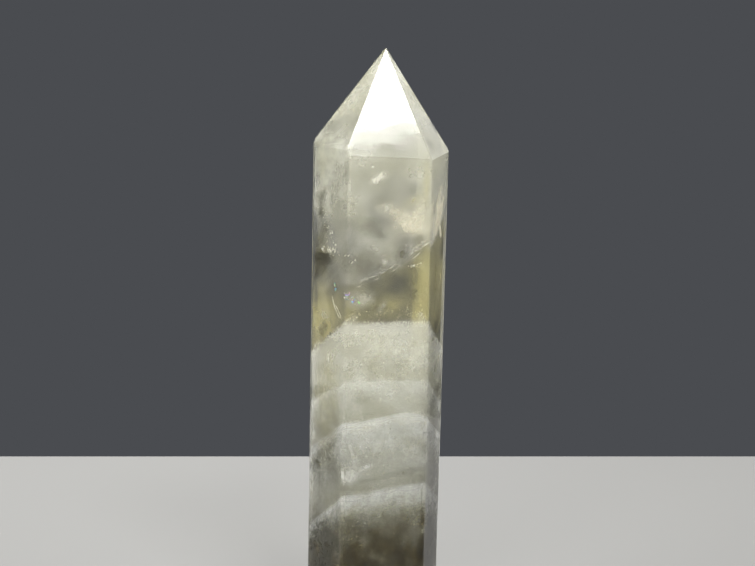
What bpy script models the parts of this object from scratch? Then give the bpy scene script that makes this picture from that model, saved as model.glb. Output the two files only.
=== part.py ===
"""Citrine crystal point: a six-sided quartz tower, cut and polished, standing on its flat base.

Metres, +Z up. The origin is on the base, on the crystal's own axis. The broadest visible prism
face looks towards -Y, turned a little towards +X.

The stone is one solid, made the way a lapidary makes one: a plain block is ground flat by one
named facet after another, six along the sides and six at the point, and sawn off level at the
bottom. The crystal stands a little out of plumb, because its base isn't cut quite square to it.
"""

import math
from typing import NamedTuple

import bmesh
import bpy
from mathutils import Matrix, Vector

MM = 0.001

# Driving dimensions
HEIGHT = 130.0 * MM              # base to tip, along the crystal's axis
SHOULDER = 110.0 * MM            # about where the sides end; each side's reach is measured here
LEAN = math.radians(1.3)         # how far the base is from square, which tips the axis towards +X
TURN = math.radians(9.5)         # the whole crystal, turned anticlockwise seen from above
FRONT_REACH = 9.95 * MM          # axis to the broad front and back sides
FLANK_REACH = 12.4 * MM          # axis to the front-right and back-left sides
SLIM_REACH = 12.0 * MM           # axis to the front-left and back-right sides
TIP_DRIFT = Vector((0.4 * MM, -0.2 * MM, 0.0))   # the tip isn't exactly on the axis
EDGE_EASE = 0.22 * MM            # the polisher's small rounding along every edge
EDGE_STEPS = 2                   # bevel segments across that rounding
BLOCK_WIDTH = 60.0 * MM          # rough block, well clear of every facet
BLOCK_SPARE = 20.0 * MM          # rough block beyond the tip and below the base
LOOK_FRONT = math.radians(-90.0)  # -Y, from which every facet's bearing is counted


class Side(NamedTuple):
    """One prism face. Bearing and splay are in degrees, reach in metres from the axis."""

    name: str
    bearing: float
    reach: float
    splay: float      # above 0, the face leans inwards as it rises


class TipFacet(NamedTuple):
    """One face of the point. Bearing and slope are in degrees; a slope of 90 would be upright."""

    name: str
    bearing: float
    slope: float


SIDES = (
    Side("front", 0.0, FRONT_REACH, -0.3),
    Side("front_right", 60.0, FLANK_REACH, 0.36),
    Side("back_right", 120.0, SLIM_REACH, -0.36),
    Side("back", 180.0, FRONT_REACH, 0.0),
    Side("back_left", 240.0, FLANK_REACH, 0.0),
    Side("front_left", 300.0, SLIM_REACH, 0.0),
)

TIP_FACETS = (
    TipFacet("front", 0.9, 65.6),
    TipFacet("front_right", 58.4, 60.9),
    TipFacet("back_right", 120.0, 60.0),
    TipFacet("back", 180.0, 61.0),
    TipFacet("back_left", 239.3, 55.6),
    TipFacet("front_left", 298.2, 57.9),
)

# Pale smoky lemon quartz, clear and glossy
STONE_COLOUR = (0.78, 0.76, 0.60, 1.0)
STONE_ROUGHNESS = 0.04
QUARTZ_IOR = 1.544


def clear_scene():
    """Remove whatever objects the file starts with."""
    for item in list(bpy.data.objects):
        bpy.data.objects.remove(item, do_unlink=True)


def collection_for(name):
    """A new collection in the scene, for the object's own parts."""
    group = bpy.data.collections.new(name)
    bpy.context.scene.collection.children.link(group)
    return group


def stone_material():
    """Polished citrine: clear, almost colourless yellow, with quartz's refraction."""
    material = bpy.data.materials.new("polished_citrine")
    material.use_nodes = True
    shader = material.node_tree.nodes["Principled BSDF"]
    shader.inputs["Base Color"].default_value = STONE_COLOUR
    shader.inputs["Roughness"].default_value = STONE_ROUGHNESS
    shader.inputs["Metallic"].default_value = 0.0
    shader.inputs["IOR"].default_value = QUARTZ_IOR
    shader.inputs["Transmission Weight"].default_value = 1.0
    return material


def outward(bearing, rise):
    """The unit vector that looks along a bearing (degrees) and rise radians above level."""
    heading = LOOK_FRONT + TURN + math.radians(bearing)
    level = math.cos(rise)
    return Vector((math.cos(heading) * level, math.sin(heading) * level, math.sin(rise)))


def grind(mesh, point, normal):
    """Cut the solid flat at a plane, take away what lies outside it and close the cut."""
    everything = mesh.verts[:] + mesh.edges[:] + mesh.faces[:]
    cut = bmesh.ops.bisect_plane(
        mesh, geom=everything, plane_co=point, plane_no=normal, clear_outer=True
    )
    rim = [piece for piece in cut["geom_cut"] if isinstance(piece, bmesh.types.BMEdge)]
    bmesh.ops.edgeloop_fill(mesh, edges=rim)


def rough_block(mesh):
    """A square block around the axis, from below the base to beyond the tip."""
    length = HEIGHT + 2.0 * BLOCK_SPARE
    size = Matrix.Diagonal((BLOCK_WIDTH, BLOCK_WIDTH, length, 1.0))
    middle = Matrix.Translation((0.0, 0.0, HEIGHT / 2.0))
    bmesh.ops.create_cube(mesh, size=1.0, matrix=middle @ size)


def crystal_point():
    """The whole stone: block, sides, point and base, then the eased edges."""
    mesh = bmesh.new()
    rough_block(mesh)
    lean = Matrix.Rotation(LEAN, 3, "Y")
    for side in SIDES:
        level = outward(side.bearing, 0.0)
        point = level * side.reach + Vector((0.0, 0.0, SHOULDER))
        normal = outward(side.bearing, math.radians(side.splay))
        grind(mesh, lean @ point, lean @ normal)
    tip = Vector((0.0, 0.0, HEIGHT)) + TIP_DRIFT
    for facet in TIP_FACETS:
        normal = outward(facet.bearing, math.radians(90.0 - facet.slope))
        grind(mesh, lean @ tip, lean @ normal)
    grind(mesh, Vector((0.0, 0.0, 0.0)), Vector((0.0, 0.0, -1.0)))
    bmesh.ops.remove_doubles(mesh, verts=mesh.verts[:], dist=0.00001)
    bmesh.ops.recalc_face_normals(mesh, faces=mesh.faces[:])

    data = bpy.data.meshes.new("crystal_point")
    mesh.to_mesh(data)
    mesh.free()
    stone = bpy.data.objects.new("crystal_point", data)
    stone.data.materials.append(stone_material())

    ease = stone.modifiers.new("eased_edges", "BEVEL")
    ease.width = EDGE_EASE
    ease.segments = EDGE_STEPS
    ease.limit_method = "ANGLE"
    ease.angle_limit = math.radians(10.0)
    return stone


def main():
    clear_scene()
    collection_for("citrine_crystal_point").objects.link(crystal_point())


main()
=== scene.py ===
"""Looks of a citrine crystal point: clear, pale quartz around milky phantom layers and veils.

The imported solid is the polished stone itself, and keeps its shape. It gets clear quartz, and
everything that grew inside it is built here as thin surfaces: phantom layers, cloud, healed
cracks, bright fractures and needles. The stone's own directions are used throughout: across (to
the right along the broad front side), inward (from that side to the back) and up its axis, all
in millimetres from the middle of the base.
"""

from __future__ import annotations

import logging
import math
from dataclasses import dataclass, field

import bpy
import numpy as np
from mathutils import Matrix, Vector


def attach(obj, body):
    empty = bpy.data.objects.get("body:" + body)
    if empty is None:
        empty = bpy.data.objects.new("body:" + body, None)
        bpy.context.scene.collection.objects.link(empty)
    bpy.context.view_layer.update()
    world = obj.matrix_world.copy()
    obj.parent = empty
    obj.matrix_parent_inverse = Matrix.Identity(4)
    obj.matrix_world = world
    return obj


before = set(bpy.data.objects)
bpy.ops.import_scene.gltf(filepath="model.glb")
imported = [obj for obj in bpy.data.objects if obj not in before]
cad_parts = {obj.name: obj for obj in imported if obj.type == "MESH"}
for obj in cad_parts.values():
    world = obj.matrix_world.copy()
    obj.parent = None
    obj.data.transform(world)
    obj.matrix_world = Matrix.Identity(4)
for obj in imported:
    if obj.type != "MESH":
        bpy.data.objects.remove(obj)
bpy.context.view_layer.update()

LOG = logging.getLogger("citrine_point")
MM = 0.001
STONE = "crystal_point"
MILKY_SLOT = "milky_quartz"
QUARTZ_IOR = 1.544
THREAD_SIDES = 6                 # corners of a thread's section
FLANK_EDGE = -8.5                # across place where the front side ends at the left, in mm

Array = np.ndarray
Point = tuple[float, float, float]
Socket = bpy.types.NodeSocket


# ---------------------------------------------------------------------------
# Small helpers
# ---------------------------------------------------------------------------


def linear(hex_colour: str) -> tuple[float, float, float, float]:
    """An sRGB hex colour as the linear RGBA that a shader takes.

    Args:
        hex_colour: six hex digits, with or without a leading hash.

    Returns:
        Linear red, green, blue and an alpha of 1.
    """
    digits = hex_colour.lstrip("#")
    shown = [int(digits[i : i + 2], 16) / 255.0 for i in (0, 2, 4)]
    bare = [c / 12.92 if c <= 0.04045 else ((c + 0.055) / 1.055) ** 2.4 for c in shown]
    return (bare[0], bare[1], bare[2], 1.0)


def add_node(
    material: bpy.types.Material,
    kind: str,
    settings: dict | None = None,
    inputs: dict | None = None,
) -> bpy.types.Node:
    """Add one node to a material, with its settings, its values and its links.

    Args:
        material: the material whose tree takes the node.
        kind: the node's type name in Blender.
        settings: attributes set on the node itself.
        inputs: input name or index to a plain value, or to an output socket to link from.

    Returns:
        The new node.
    """
    tree = material.node_tree
    node = tree.nodes.new(kind)
    for name, value in (settings or {}).items():
        setattr(node, name, value)
    for name, value in (inputs or {}).items():
        socket = node.inputs[name]
        if isinstance(value, Socket):
            tree.links.new(value, socket)
        else:
            socket.default_value = value
    return node


def empty_material(name: str) -> bpy.types.Material:
    """A material whose node tree holds nothing yet."""
    material = bpy.data.materials.new(name)
    material.use_nodes = True
    material.node_tree.nodes.clear()
    return material


def add_noise(
    material: bpy.types.Material,
    lump_mm: float,
    detail: float,
    roughness: float = 0.5,
    vector: Socket | None = None,
) -> Socket:
    """Noise that is fixed to the stone.

    Args:
        material: the material whose tree takes the nodes.
        lump_mm: the size of its lumps.
        detail: how many finer octaves it has.
        roughness: how strong those are.
        vector: the places to read it at, or None for the stone's own.

    Returns:
        The noise's socket, 0 to 1 with most of it near the middle.
    """
    if vector is None:
        vector = add_node(material, "ShaderNodeTexCoord").outputs["Object"]
    inputs = {"Vector": vector, "Scale": 1.0 / (lump_mm * MM), "Detail": detail, "Roughness": roughness}
    return add_node(material, "ShaderNodeTexNoise", inputs=inputs).outputs["Fac"]


def add_range(
    material: bpy.types.Material,
    value: Socket,
    start: tuple[float, float],
    end: tuple[float, float],
    smooth: bool = False,
) -> Socket:
    """A value carried over from one range to another, and held at its ends.

    Args:
        material: the material whose tree takes the node.
        value: the value's socket.
        start: the range that it comes in.
        end: the range that it goes to.
        smooth: whether it eases in and out of the ends.

    Returns:
        The new value's socket.
    """
    ends = {"From Min": start[0], "From Max": start[1], "To Min": end[0], "To Max": end[1]}
    way = {"interpolation_type": "SMOOTHSTEP" if smooth else "LINEAR"}
    return add_node(material, "ShaderNodeMapRange", way, {"Value": value, **ends}).outputs["Result"]


def add_attribute(material: bpy.types.Material, name: str) -> Socket:
    """The value that a mesh attribute has at each place."""
    return add_node(material, "ShaderNodeAttribute", {"attribute_name": name}).outputs["Fac"]


def add_ramp(
    material: bpy.types.Material,
    tones: tuple[tuple[float, str], ...],
    steps: bool = False,
    mottle: float = 0.0,
    lump_mm: float = 2.4,
) -> Socket:
    """The colour that a material has where the tint attribute has each value.

    Args:
        material: the material whose tree takes the nodes.
        tones: pairs of tint and hex colour, in rising order.
        steps: whether the colour jumps from one tone to the next instead of blending.
        mottle: how far fine noise moves the tint.
        lump_mm: the size of that noise's lumps.

    Returns:
        The colour socket.
    """
    tint = add_attribute(material, "tint")
    if mottle:
        spots = add_noise(material, lump_mm, 3.0, 0.62)
        off_middle = {"operation": "SUBTRACT"}
        about_zero = add_node(material, "ShaderNodeMath", off_middle, {0: spots, 1: 0.5}).outputs[0]
        leaning = {"operation": "MULTIPLY_ADD"}
        tint = add_node(material, "ShaderNodeMath", leaning, {0: about_zero, 1: mottle, 2: tint}).outputs[0]
    ramp = add_node(material, "ShaderNodeValToRGB", inputs={"Fac": tint})
    ramp.color_ramp.interpolation = "CONSTANT" if steps else "LINEAR"
    stops = ramp.color_ramp.elements
    while len(stops) < len(tones):
        stops.new(0.5)
    for stop, (position, colour) in zip(stops, tones):
        stop.position = position
        stop.color = linear(colour)
    return ramp.outputs["Color"]


def finish_veil(
    material: bpy.types.Material,
    tone: Socket,
    body: Socket,
    glow: float,
    surface: dict[str, float],
) -> bpy.types.Material:
    """End a finish that is lit on and lit through, and clear where the veil attribute is low.

    Args:
        material: the material whose tree takes the nodes.
        tone: its colour.
        body: how much of the veil stands at each place; alpha is veil times body, up to 1.
        glow: the share of light that passes through it instead of off it.
        surface: values for the shader's own sockets.

    Returns:
        The same material, with its output in place.
    """
    product = {"operation": "MULTIPLY", "use_clamp": True}
    veil = add_attribute(material, "veil")
    alpha = add_node(material, "ShaderNodeMath", product, {0: body, 1: veil}).outputs[0]
    shader = add_node(material, "ShaderNodeBsdfPrincipled", inputs={"Base Color": tone, **surface})
    through = add_node(material, "ShaderNodeBsdfTranslucent", inputs={"Color": tone})
    lights = {0: glow, 1: shader.outputs[0], 2: through.outputs[0]}
    lit = add_node(material, "ShaderNodeMixShader", inputs=lights)
    clear = add_node(material, "ShaderNodeBsdfTransparent")
    sides = {0: alpha, 1: clear.outputs[0], 2: lit.outputs[0]}
    seen = add_node(material, "ShaderNodeMixShader", inputs=sides)
    add_node(material, "ShaderNodeOutputMaterial", inputs={"Surface": seen.outputs[0]})
    return material


def grid_quads(rows: int, columns: int) -> Array:
    """The quads of a grid of vertices that is counted row by row.

    Args:
        rows: cells up the grid.
        columns: cells along a row, one fewer than its vertices.

    Returns:
        Four vertex numbers for each of rows x columns cells.
    """
    wide = columns + 1
    first = np.arange(rows * wide).reshape(rows, wide)[:, :-1].ravel()
    return np.stack([first, first + 1, first + wide + 1, first + wide], axis=1)


def round_flank(own: Array, edge: float) -> Array:
    """How far round the left flank each place is: 0 up to the edge, and 1 from 2 mm past it."""
    return np.clip((edge - own[:, 0]) / 2.0, 0.0, 1.0)


def waves(points: Array, seed: int, length: float, octaves: int = 3) -> Array:
    """Smooth noise about -1 to 1 at each point.

    It is a sum of sine waves in random directions: each octave has nine waves, half as long and
    a little over half as strong as those of the octave before.

    Args:
        points: N by 3 places, in millimetres.
        seed: picks the waves.
        length: the first octave's wavelength, in millimetres.
        octaves: how many halvings.

    Returns:
        N values.
    """
    draw = np.random.default_rng(seed)
    total = np.zeros(len(points))
    strength, spent = 1.0, 0.0
    for _ in range(octaves):
        heading = draw.normal(size=(9, 3))
        heading /= np.linalg.norm(heading, axis=1, keepdims=True)
        stretch = draw.uniform(0.7, 1.4, 9) * 2.0 * math.pi / length
        phase = draw.uniform(0.0, 2.0 * math.pi, 9)
        total += strength * np.sin(points @ heading.T * stretch + phase).sum(axis=1) / 3.0
        spent += strength
        strength *= 0.55
        length *= 0.5
    return total / spent


def lumps(
    points: Array,
    seed: int,
    length: float,
    swing: float,
    limits: tuple[float, float],
    octaves: int = 3,
    about: float = 1.0,
) -> Array:
    """An uneven strength at each point: about + swing x waves, held between two limits.

    Args:
        points: N by 3 places, in mm.
        seed: picks the waves.
        length: the first octave's wavelength, in mm.
        swing: how far it goes up and down.
        limits: the least and the most that it may be.
        octaves: how many octaves the waves have.
        about: the strength that it swings about.

    Returns:
        N values.
    """
    return np.clip(about + swing * waves(points, seed, length, octaves), *limits)


def soft_step(distance: Array) -> Array:
    """From 0 well before a border to 1 well past it: 1 / (1 + exp(-distance))."""
    return 1.0 / (1.0 + np.exp(-distance))


# ---------------------------------------------------------------------------
# The stone as the frame gives it
# ---------------------------------------------------------------------------


@dataclass
class StoneBody:
    """The polished solid's big facets, read from the frame, and the stone's own directions.

    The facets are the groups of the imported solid's triangles that share a direction and have a
    real area; the narrow eased edges between them are left out.
    """

    node: bpy.types.Object
    smallest_facet: float = 12.0      # mm2, under which a group of triangles is an eased edge
    normals: Array = field(init=False)
    offsets: Array = field(init=False)
    centres: Array = field(init=False)
    across: Array = field(init=False)
    inward: Array = field(init=False)
    upward: Array = field(init=False)

    def __post_init__(self) -> None:
        """Read the facets, then the stone's own directions from the upright ones."""
        mesh = self.node.data
        normal = np.empty(len(mesh.polygons) * 3)
        middle = np.empty(len(mesh.polygons) * 3)
        area = np.empty(len(mesh.polygons))
        mesh.polygons.foreach_get("normal", normal)
        mesh.polygons.foreach_get("center", middle)
        mesh.polygons.foreach_get("area", area)
        normal = normal.reshape(-1, 3)
        middle = middle.reshape(-1, 3) / MM
        area = area / MM**2
        found: list[tuple[Array, Array]] = []
        left = np.ones(len(area), bool)
        while left.any():
            lead = np.argmax(np.where(left, area, 0.0))
            alike = left & (normal @ normal[lead] > math.cos(math.radians(1.0)))
            if area[alike].sum() >= self.smallest_facet:
                mean = (normal[alike] * area[alike, None]).sum(axis=0)
                mean /= np.linalg.norm(mean)
                found.append((mean, np.average(middle[alike], axis=0, weights=area[alike])))
            left &= ~alike
        self.normals = np.array([facet[0] for facet in found])
        self.centres = np.array([facet[1] for facet in found])
        self.offsets = (self.normals * self.centres).sum(axis=1)
        self._read_directions()

    def _read_directions(self) -> None:
        """Take up most nearly square to the sides' normals, and inward from front side to back."""
        level = np.abs(self.normals[:, 2]) < 0.1
        sides = self.normals[level]
        back = sides[np.argmax(sides[:, 1])]
        front = sides[np.argmin(sides[:, 1])]
        _, _, axes = np.linalg.svd(sides)
        self.upward = axes[2] * np.sign(axes[2][2])
        inward = back - front
        inward -= self.upward * (inward @ self.upward)
        self.inward = inward / np.linalg.norm(inward)
        self.across = np.cross(self.inward, self.upward)

    def place(self, across: Array | float, inward: Array | float, up: Array | float) -> Array:
        """Points given in the stone's own directions, as places in the frame.

        Args:
            across: to the right along the front side, in mm.
            inward: from the front side to the back, in mm.
            up: up the axis, in mm.

        Returns:
            N by 3 places in the frame, in mm.
        """
        parts = np.broadcast_arrays(across, inward, up)
        axes = (self.across, self.inward, self.upward)
        return sum(np.ravel(part)[:, None] * axis for part, axis in zip(parts, axes))

    def own(self, points: Array) -> Array:
        """Frame points as across, inward and up."""
        return points @ np.array([self.across, self.inward, self.upward]).T

    def reach(self, centre: Array, headings: Array, margin: float) -> Array:
        """How far it is from a point inside to the skin, along each heading.

        For each facet the distance is (offset - margin - n.centre) / (n.heading), and the
        nearest facet ahead counts.

        Args:
            centre: the point inside.
            headings: N by 3 unit directions.
            margin: how far short of the skin to stop, in mm.

        Returns:
            N distances, in mm.
        """
        ahead = headings @ self.normals.T
        gap = self.offsets - margin - self.normals @ centre
        steps = np.where(ahead > 1e-6, gap / np.maximum(ahead, 1e-6), np.inf)
        return np.maximum(steps.min(axis=1), 0.0)

    def keep_inside(self, points: Array, margin: float) -> Array:
        """Push points that lie outside the facets, moved in by a margin, back to them.

        Args:
            points: N by 3 places in the frame, in mm.
            margin: how far inside the skin the facets are taken, in mm.

        Returns:
            The points, moved in along the facets' normals in three rounds.
        """
        held = points.copy()
        for _ in range(3):
            for normal, offset in zip(self.normals, self.offsets):
                over = np.maximum(held @ normal - (offset - margin), 0.0)
                held -= over[:, None] * normal
        return held

    def depth(self, points: Array) -> Array:
        """How deep each point lies under the nearest facet, in millimetres."""
        return (self.offsets - points @ self.normals.T).min(axis=1)

    def cross_section(
        self, place: Array, facing: Array, row: float, columns: int, margin: float
    ) -> tuple[Array, Array] | None:
        """A plane cut through the stone, as rows of points that each run from skin to skin.

        A row is the line base + x h. Each facet n.p <= o leaves x <= (o - n.base) / (n.h) where
        n.h is above zero and x >= it where it is below.

        Args:
            place: a point of the plane.
            facing: its normal.
            row: distance between rows, in mm.
            columns: cells along a row.
            margin: how far short of the skin the rows stop, in mm.

        Returns:
            Points and quads, or None where the plane misses the stone.
        """
        facing = facing / np.linalg.norm(facing)
        side = np.cross(self.upward, facing)
        side /= np.linalg.norm(side)
        rise = np.cross(facing, side)
        base = place + np.arange(-140.0, 140.0, row)[:, None] * rise
        gap = self.offsets - margin - base @ self.normals.T
        ahead = self.normals @ side
        safe = np.where(np.abs(ahead) < 1e-6, 1.0, ahead)
        high = np.where(ahead > 1e-6, gap / safe, np.inf).min(axis=1)
        low = np.where(ahead < -1e-6, gap / safe, -np.inf).max(axis=1)
        kept = (low + 0.2 < high) & (np.where(np.abs(ahead) <= 1e-6, gap, 1.0) > 0.0).all(axis=1)
        if kept.sum() < 2:
            return None
        share = np.linspace(0.0, 1.0, columns + 1)
        x = low[kept, None] * (1.0 - share) + high[kept, None] * share
        points = (base[kept, None, :] + x[:, :, None] * side).reshape(-1, 3)
        return points, grid_quads(kept.sum() - 1, columns)


@dataclass
class Surface:
    """Vertices, faces and two values per vertex, veil and tint, gathered into one mesh."""

    points: list[Array] = field(default_factory=list)
    faces: list[Array] = field(default_factory=list)
    veil: list[Array] = field(default_factory=list)
    tint: list[Array] = field(default_factory=list)
    count: int = 0

    def add(self, points: Array, faces: Array, veil: Array, tint: Array | float = 0.0) -> None:
        """Join another patch of faces.

        Args:
            points: N by 3 places, in mm.
            faces: vertex numbers within this patch.
            veil: how strong it is at each vertex, 0 to 1.
            tint: its colour lean at each vertex, or one for all of them.
        """
        self.points.append(points)
        self.faces.append(faces + self.count)
        self.veil.append(np.clip(veil, 0.0, 1.0))
        self.tint.append(np.clip(np.broadcast_to(tint, len(points)), 0.0, 1.0))
        self.count += len(points)

    def build(self, name: str, material: bpy.types.Material, slot: str) -> bpy.types.Object:
        """Make the object, dress it, and set it riding on the stone.

        Args:
            name: the piece's name.
            material: its finish.
            slot: the record's slot that the finish belongs to; not used.

        Returns:
            The object, with its place in its mesh.
        """
        points = np.concatenate(self.points) * MM
        faces = np.concatenate(self.faces)
        faces = faces[np.concatenate(self.veil)[faces].max(axis=1) > 0.004]
        mesh = bpy.data.meshes.new(name)
        mesh.from_pydata(points.tolist(), [], faces.tolist())
        for label, values in (("veil", self.veil), ("tint", self.tint)):
            mesh.attributes.new(label, "FLOAT", "POINT")
            mesh.attributes[label].data.foreach_set("value", np.concatenate(values).astype("f4"))
        mesh.polygons.foreach_set("use_smooth", np.ones(len(mesh.polygons), bool))
        mesh.materials.append(material)
        mesh.update()
        piece = bpy.data.objects.new(name, mesh)
        bpy.context.scene.collection.objects.link(piece)
        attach(piece, "root")
        LOG.info("%s: %d faces", name, len(faces))
        return piece


def square_disc(cells: int) -> tuple[Array, Array, Array]:
    """A square grid bent to a disc, so that a filled round sheet has no pole.

    A grid point (a, b) goes to the radius max(|a|, |b|), and to the angle that the square's edge
    makes when it is wrapped round the circle evenly.

    Args:
        cells: cells along one side.

    Returns:
        Each vertex's radius, -1 to 1 (below 0 it lies the opposite way), its angle, and the quads.
    """
    line = np.linspace(-1.0, 1.0, cells + 1)
    a, b = (part.ravel() for part in np.meshgrid(line, line))
    wide = np.abs(a) >= np.abs(b)
    safe_a = np.where(a == 0.0, 1.0, a)
    safe_b = np.where(b == 0.0, 1.0, b)
    turn = np.where(wide, b / safe_a, 2.0 - a / safe_b) * math.pi / 4.0
    return np.where(wide, a, b), turn, grid_quads(cells, cells)


@dataclass(frozen=True)
class Sheet:
    """A thin surface inside the stone, flat but for its waves, out to the skin or to a size.

    A point of the disc at radius r and angle t goes to centre + r R(t) (cos t a + sin t b) +
    wave n, where a, b and n are the sheet's own axes and R(t) is the way to the skin or the
    sheet's own half size, whichever is less.
    """

    centre: Array
    normal: Array
    long_way: Array
    half_sizes: tuple[float, float] = (1000.0, 1000.0)
    wave: float = 0.3
    wave_length: float = 6.0
    seed: int = 1
    cells: int = 32
    margin: float = 0.12

    def points(self, stone: StoneBody) -> tuple[Array, Array, Array]:
        """Work the sheet out to the skin or to its size.

        Args:
            stone: the stone that it lies in.

        Returns:
            Its vertices in the frame (mm), its quads, and each vertex's radius, 0 to 1.
        """
        n = self.normal / np.linalg.norm(self.normal)
        a = self.long_way - n * (self.long_way @ n)
        a /= np.linalg.norm(a)
        b = np.cross(n, a)
        radius, turn, quads = square_disc(self.cells)
        heading = np.cos(turn)[:, None] * a + np.sin(turn)[:, None] * b
        heading *= np.where(radius < 0.0, -1.0, 1.0)[:, None]
        radius = np.abs(radius)
        skin = stone.reach(self.centre, heading, self.margin)
        wide, high = self.half_sizes
        own = 1.0 / np.sqrt((np.cos(turn) / wide) ** 2 + (np.sin(turn) / high) ** 2)
        out = np.minimum(skin, own)
        flat = self.centre + heading * (radius * out)[:, None]
        lift = self.wave * waves(flat, self.seed, self.wave_length)
        points = stone.keep_inside(flat + lift[:, None] * n, self.margin)
        return points, quads, radius


# ---------------------------------------------------------------------------
# Finishes
# ---------------------------------------------------------------------------


@dataclass(frozen=True)
class ClearQuartz:
    """Citrine, cut and polished: clear, faintly smoky yellow, glossy.

    To the eye: facets that mirror the light at some angles and open to the inside at others,
    with the faint unevenness that hand polishing leaves and hairline scratches in the gloss.
    """

    roughness: float = 0.055
    wave_mm: float = 9.0             # the lap's slow unevenness
    scratch_mm: float = 0.35         # hairlines, drawn as coarse as they need to show
    lap_depth: float = 0.00008       # of that unevenness, in metres
    scratch_depth: float = 0.00001
    taken: Point = (5.0, 5.2, 9.0)   # absorbed per metre: red, green, blue
    lamplight: tuple[float, ...] = (0.86, 0.86, 0.84, 1.0)   # what the skin lets through to the cloud

    def build(self) -> bpy.types.Material:
        """The stone's material: glass surface, absorption inside, open to lamps.

        Returns:
            The material.
        """
        material = empty_material("polished_citrine")
        lap = add_noise(material, self.wave_mm, 1.0)
        hair = add_noise(material, self.scratch_mm, 2.0)
        slow = {"Height": lap, "Strength": 1.0, "Distance": self.lap_depth}
        uneven = add_node(material, "ShaderNodeBump", inputs=slow).outputs["Normal"]
        fine = {"Height": hair, "Normal": uneven, "Strength": 0.10, "Distance": self.scratch_depth}
        bump = add_node(material, "ShaderNodeBump", inputs=fine)
        gloss = (self.roughness, self.roughness * 1.8)
        surface = {
            "Base Color": (1.0, 1.0, 1.0, 1.0),
            "Roughness": add_range(material, hair, (0.45, 0.85), gloss),
            "IOR": QUARTZ_IOR,
            "Transmission Weight": 1.0,
            "Normal": bump.outputs["Normal"],
        }
        shader = add_node(material, "ShaderNodeBsdfPrincipled", inputs=surface)
        to_lamp = add_node(material, "ShaderNodeLightPath").outputs["Is Shadow Ray"]
        window = add_node(material, "ShaderNodeBsdfTransparent", inputs={"Color": self.lamplight})
        either = {0: to_lamp, 1: shader.outputs[0], 2: window.outputs[0]}
        seen = add_node(material, "ShaderNodeMixShader", inputs=either)
        density = max(self.taken)
        kept = tuple(1.0 - taken / density for taken in self.taken) + (1.0,)
        depths = {"Color": kept, "Density": density}
        inside = add_node(material, "ShaderNodeVolumeAbsorption", inputs=depths)
        ends = {"Surface": seen.outputs[0], "Volume": inside.outputs[0]}
        add_node(material, "ShaderNodeOutputMaterial", inputs=ends)
        return material


@dataclass(frozen=True)
class Dust:
    """Dust and tiny bubbles caught in the quartz: dull, and lit through as well as lit on.

    To the eye: white cloud with grain in it, thick in some places and open in others, greyer or
    browner where the tint attribute says so.
    """

    name: str
    tones: tuple[tuple[float, str], ...]
    grain_mm: float = 0.9           # the cloud's finest lumps
    open_at: float = 0.36           # noise up to this lets the least of the veil stand
    full_at: float = 0.66           # and from this, the most
    uneven: tuple[float, float] = (0.55, 1.35)      # least and most of the veil it lets stand
    mottle: float = 0.0             # how far its tint wanders in small lumps
    glow: float = 0.5               # share of light that passes through instead of off it
    roughness: float = 0.8

    def build(self) -> bpy.types.Material:
        """A dull shader whose alpha is the veil attribute times fine noise.

        Returns:
            The material.
        """
        material = empty_material(self.name)
        grain = add_noise(material, self.grain_mm, 2.5, 0.7)
        body = add_range(material, grain, (self.open_at, self.full_at), self.uneven, smooth=True)
        tone = add_ramp(material, self.tones, mottle=self.mottle)
        surface = {"Roughness": self.roughness, "Specular IOR Level": 0.0}
        return finish_veil(material, tone, body, self.glow, surface)


@dataclass(frozen=True)
class Crack:
    """Air in a crack, or the skin of a needle: bright white to cream, with a soft gloss.

    To the eye: a silvery patch with finer streaks in it that fades out at its feathered edge.
    """

    name: str
    white: str = "#F7F7F2"
    cream: str = "#F6EBC4"
    streak_mm: float = 0.6
    streak_turn: Point = (0.0, 0.6, 0.3)       # radians
    streak_stretch: Point = (1.0, 1.0, 0.4)
    glow: float = 0.35

    def build(self) -> bpy.types.Material:
        """A pale, faintly glossy shader whose alpha is the veil attribute times streaks.

        Returns:
            The material.
        """
        material = empty_material(self.name)
        place = add_node(material, "ShaderNodeTexCoord").outputs["Object"]
        draw = {"Vector": place, "Rotation": self.streak_turn, "Scale": self.streak_stretch}
        drawn_out = add_node(material, "ShaderNodeMapping", inputs=draw).outputs["Vector"]
        streak = add_noise(material, self.streak_mm, 2.0, vector=drawn_out)
        body = add_range(material, streak, (0.35, 0.6), (0.45, 1.2))
        lean = add_attribute(material, "tint")
        colours = {"Factor": lean, 6: linear(self.white), 7: linear(self.cream)}
        tone = add_node(material, "ShaderNodeMix", {"data_type": "RGBA"}, colours).outputs[2]
        surface = {"Roughness": 0.4, "Specular IOR Level": 0.4}
        return finish_veil(material, tone, body, self.glow, surface)


@dataclass(frozen=True)
class Rainbow:
    """Thin-film colours in a hair-wide crack: green, violet and blue flecks."""

    name: str = "rainbow_film"
    tones: tuple[tuple[float, str], ...] = (
        (0.0, "#F2F4F0"),
        (0.2, "#7FE06A"),
        (0.4, "#A8F08A"),
        (0.55, "#9A7BE8"),
        (0.7, "#6FB7F0"),
        (0.85, "#F0A8D8"),
    )

    def build(self) -> bpy.types.Material:
        """A bright shader whose colour steps through the film's colours by the tint.

        Returns:
            The material.
        """
        material = empty_material(self.name)
        shader = add_node(
            material,
            "ShaderNodeBsdfPrincipled",
            inputs={"Base Color": add_ramp(material, self.tones, steps=True), "Roughness": 0.3},
        )
        add_node(material, "ShaderNodeOutputMaterial", inputs={"Surface": shader.outputs[0]})
        return material


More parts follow.
